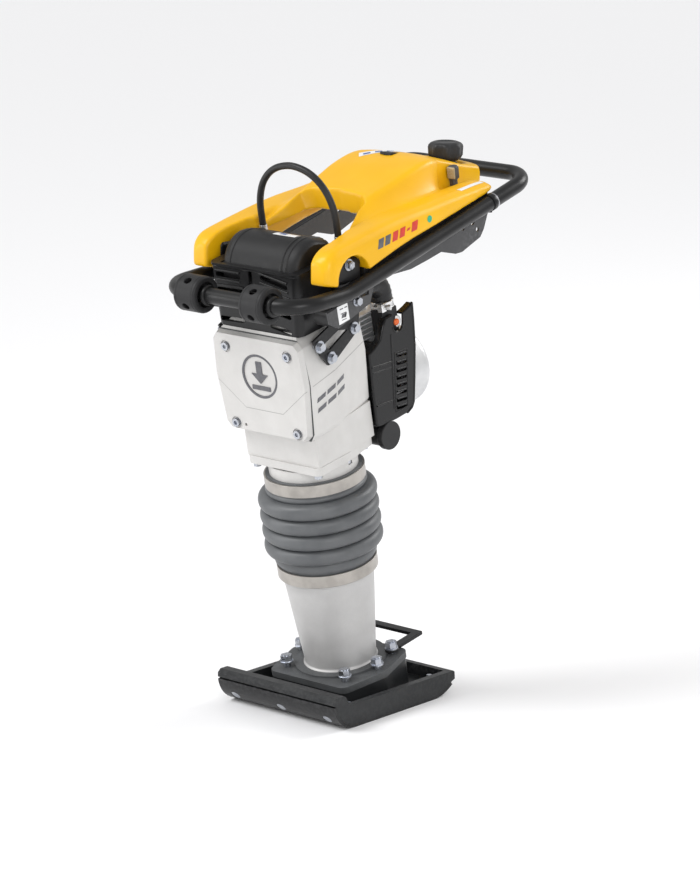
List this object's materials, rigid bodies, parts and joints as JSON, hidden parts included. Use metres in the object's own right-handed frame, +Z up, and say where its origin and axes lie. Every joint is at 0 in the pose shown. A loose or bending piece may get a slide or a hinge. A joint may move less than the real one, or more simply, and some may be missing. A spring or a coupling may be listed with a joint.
{
  "type": "tamping rammer",
  "caption": "Upright two-stroke vibratory tamping rammer with a leaning bellows leg, flat shoe, cast crankcase, tank hood and a looped guide handle with rollers.",
  "frame": {"origin": "middle of the shoe's flat sole, on the ground", "axes": "+Z up, -Y is the front, to which the ram axis leans; +X is the machine's left seen by its operator"},
  "size_m": [0.3452, 0.682, 0.9929],
  "materials": {
    "sole_plate": "satin black paint on steel",
    "shoe_body": "black moulded composite, fine grain",
    "sole_bolts": "zinc plated",
    "foot_flange": "dark grey cast iron, painted",
    "flange_nuts": "bluish zinc plated",
    "lift_bar": "black powder coat",
    "spring_cylinder": "light grey paint",
    "lower_clamp": "warm stainless band",
    "bellows": "grey moulded rubber, satin",
    "guide_bush": "bearing plastic",
    "spring_tube": "drawn steel",
    "ram_springs": "blue-grey enamel",
    "plunger": "ground steel",
    "crankcase": "shot-blasted casting",
    "front_cover": "shot-blasted casting",
    "cover_gasket": "dark gasket",
    "cover_screws": "zinc plated",
    "guide_cylinder": "casting",
    "flange_bolts": "zinc plated",
    "upper_clamp": "warm stainless band",
    "bearings": "ground bearing steel",
    "muffler": "heat-tinted sheet",
    "muffler_guard": "black powder coat",
    "filter_housing": "black plastic",
    "filter_element": "pleated paper",
    "filter_cover": "black grained plastic",
    "cable_ends": "pressed ferrules",
    "lifting_cable": "black sleeve over steel rope",
    "side_brackets": "black powder coat",
    "bracket_bolts": "zinc plated",
    "rubber_buffers": "black rubber",
    "engine_housing": "black casting",
    "engine_cylinder": "bare casting",
    "spark_plug": "rubber cap",
    "engine_shroud": "black moulded cover, low gloss",
    "starter_housing": "pressed dome",
    "carburettor": "die casting",
    "intake_elbow": "black rubber hose",
    "hose_clamp": "stainless band",
    "engine_buffer": "black rubber",
    "guide_handle": "black powder coat",
    "handle_plates": "dark powder coat",
    "fuel_tank": "yellow rotomoulded plastic, satin",
    "vent_plug": "black plastic",
    "pivot_bolts": "zinc plated",
    "crank_gear": "hardened steel",
    "conrod": "forged steel",
    "wrist_pin": "ground steel",
    "clutch_drum": "turned steel",
    "crankshaft": "forged steel",
    "flywheel": "cast fan wheel",
    "clutch_shoes": "friction lined",
    "engine_piston": "machined",
    "fuel_cap": "black plastic",
    "cap_seal": "black rubber",
    "roller_left": "black nylon",
    "roller_right": "black nylon",
    "throttle_lever": "dark plastic",
    "lever_pad": "beige ribbed pad",
    "starter_grip": "black plastic"
  },
  "bodies": {
    "foot_unit": {"sole_plate": "sole_plate", "shoe_body": "shoe_body", "sole_bolts": "sole_bolts", "foot_flange": "foot_flange", "flange_nuts": "flange_nuts", "lift_bar": "lift_bar", "spring_cylinder": "spring_cylinder", "lower_clamp": "lower_clamp", "bellows": "bellows", "guide_bush": "guide_bush", "spring_tube": "spring_tube", "ram_springs": "ram_springs", "plunger": "plunger"},
    "upper_unit": {"crankcase": "crankcase", "front_cover": "front_cover", "cover_gasket": "cover_gasket", "cover_screws": "cover_screws", "guide_cylinder": "guide_cylinder", "flange_bolts": "flange_bolts", "upper_clamp": "upper_clamp", "bearings": "bearings", "muffler": "muffler", "muffler_guard": "muffler_guard", "filter_housing": "filter_housing", "filter_element": "filter_element", "filter_cover": "filter_cover", "cable_ends": "cable_ends", "lifting_cable": "lifting_cable", "side_brackets": "side_brackets", "bracket_bolts": "bracket_bolts", "rubber_buffers": "rubber_buffers", "engine_housing": "engine_housing", "engine_cylinder": "engine_cylinder", "spark_plug": "spark_plug", "engine_shroud": "engine_shroud", "starter_housing": "starter_housing", "carburettor": "carburettor", "intake_elbow": "intake_elbow", "hose_clamp": "hose_clamp", "engine_buffer": "engine_buffer"},
    "guide_frame": {"guide_handle": "guide_handle", "handle_plates": "handle_plates", "fuel_tank": "fuel_tank", "vent_plug": "vent_plug", "pivot_bolts": "pivot_bolts"},
    "roller_left_body": {"roller_left": "roller_left"},
    "roller_right_body": {"roller_right": "roller_right"},
    "throttle": {"throttle_lever": "throttle_lever", "lever_pad": "lever_pad"},
    "cap_insert": {"cap_seal": "cap_seal"},
    "cap_body": {"fuel_cap": "fuel_cap"},
    "crank": {"crank_gear": "crank_gear"},
    "rod": {"conrod": "conrod", "wrist_pin": "wrist_pin"},
    "clutch": {"clutch_drum": "clutch_drum"},
    "engine_shaft": {"crankshaft": "crankshaft", "flywheel": "flywheel", "clutch_shoes": "clutch_shoes"},
    "piston": {"engine_piston": "engine_piston"},
    "starter": {"starter_grip": "starter_grip"}
  },
  "joints": [
    {"name": "ram_stroke", "type": "slide", "parent": "foot_unit", "child": "upper_unit", "axis": [0, -0.1925, 0.9813], "range_m": [0, 0.062], "deforming": ["bellows"]},
    {"name": "handle_rock", "type": "hinge", "parent": "upper_unit", "child": "guide_frame", "pos_m": [0, -0.122, 0.7695], "axis": [1, 0, 0], "range_deg": [-2, 2], "stiffness_Nm_per_rad": 1500},
    {"name": "roller_left_spin", "type": "hinge", "parent": "guide_frame", "child": "roller_left_body", "pos_m": [-0.076, -0.28, 0.777], "axis": [1, 0, 0], "continuous": true},
    {"name": "roller_right_spin", "type": "hinge", "parent": "guide_frame", "child": "roller_right_body", "pos_m": [0.076, -0.28, 0.777], "axis": [1, 0, 0], "continuous": true},
    {"name": "throttle_swing", "type": "hinge", "parent": "guide_frame", "child": "throttle", "pos_m": [0.088, 0.218, 0.905], "axis": [1, 0, 0], "range_deg": [0, 30]},
    {"name": "cap_lift", "type": "slide", "parent": "guide_frame", "child": "cap_insert", "axis": [0, 0, 1], "range_m": [0, 0.009]},
    {"name": "cap_turn", "type": "hinge", "parent": "cap_insert", "child": "cap_body", "pos_m": [0.038, 0.252, 0.952], "axis": [0, 0, 1], "range_deg": [0, 540]},
    {"name": "crank_turn", "type": "hinge", "parent": "upper_unit", "child": "crank", "pos_m": [0, -0.0981, 0.62999], "axis": [0, 0.9813, 0.1925], "continuous": true},
    {"name": "rod_swing", "type": "hinge", "parent": "crank", "child": "rod", "pos_m": [0, -0.10407, 0.66041], "axis": [0, 0.9813, 0.1925], "continuous": true},
    {"name": "clutch_turn", "type": "hinge", "parent": "upper_unit", "child": "clutch", "pos_m": [0, 0.0113, 0.56585], "axis": [0, 0.9813, 0.1925], "continuous": true},
    {"name": "engine_turn", "type": "hinge", "parent": "upper_unit", "child": "engine_shaft", "pos_m": [0, 0.06527, 0.57644], "axis": [0, 0.9813, 0.1925], "continuous": true},
    {"name": "piston_slide", "type": "slide", "parent": "upper_unit", "child": "piston", "axis": [0, -0.1925, 0.9813], "range_m": [-0.019, 0.019]},
    {"name": "starter_pull", "type": "slide", "parent": "upper_unit", "child": "starter", "axis": [0, 0.628, 0.7782], "range_m": [0, 0.35], "stiffness_N_per_m": 30, "springref_m": -0.4}
  ],
  "couplings": [
    {"joint": "cap_lift", "follows": "cap_turn", "m_per_rad": 0.00095493},
    {"joint": "rod_swing", "follows": "crank_turn", "ratio": -1},
    {"joint": "clutch_turn", "follows": "crank_turn", "ratio": -6}
  ]
}
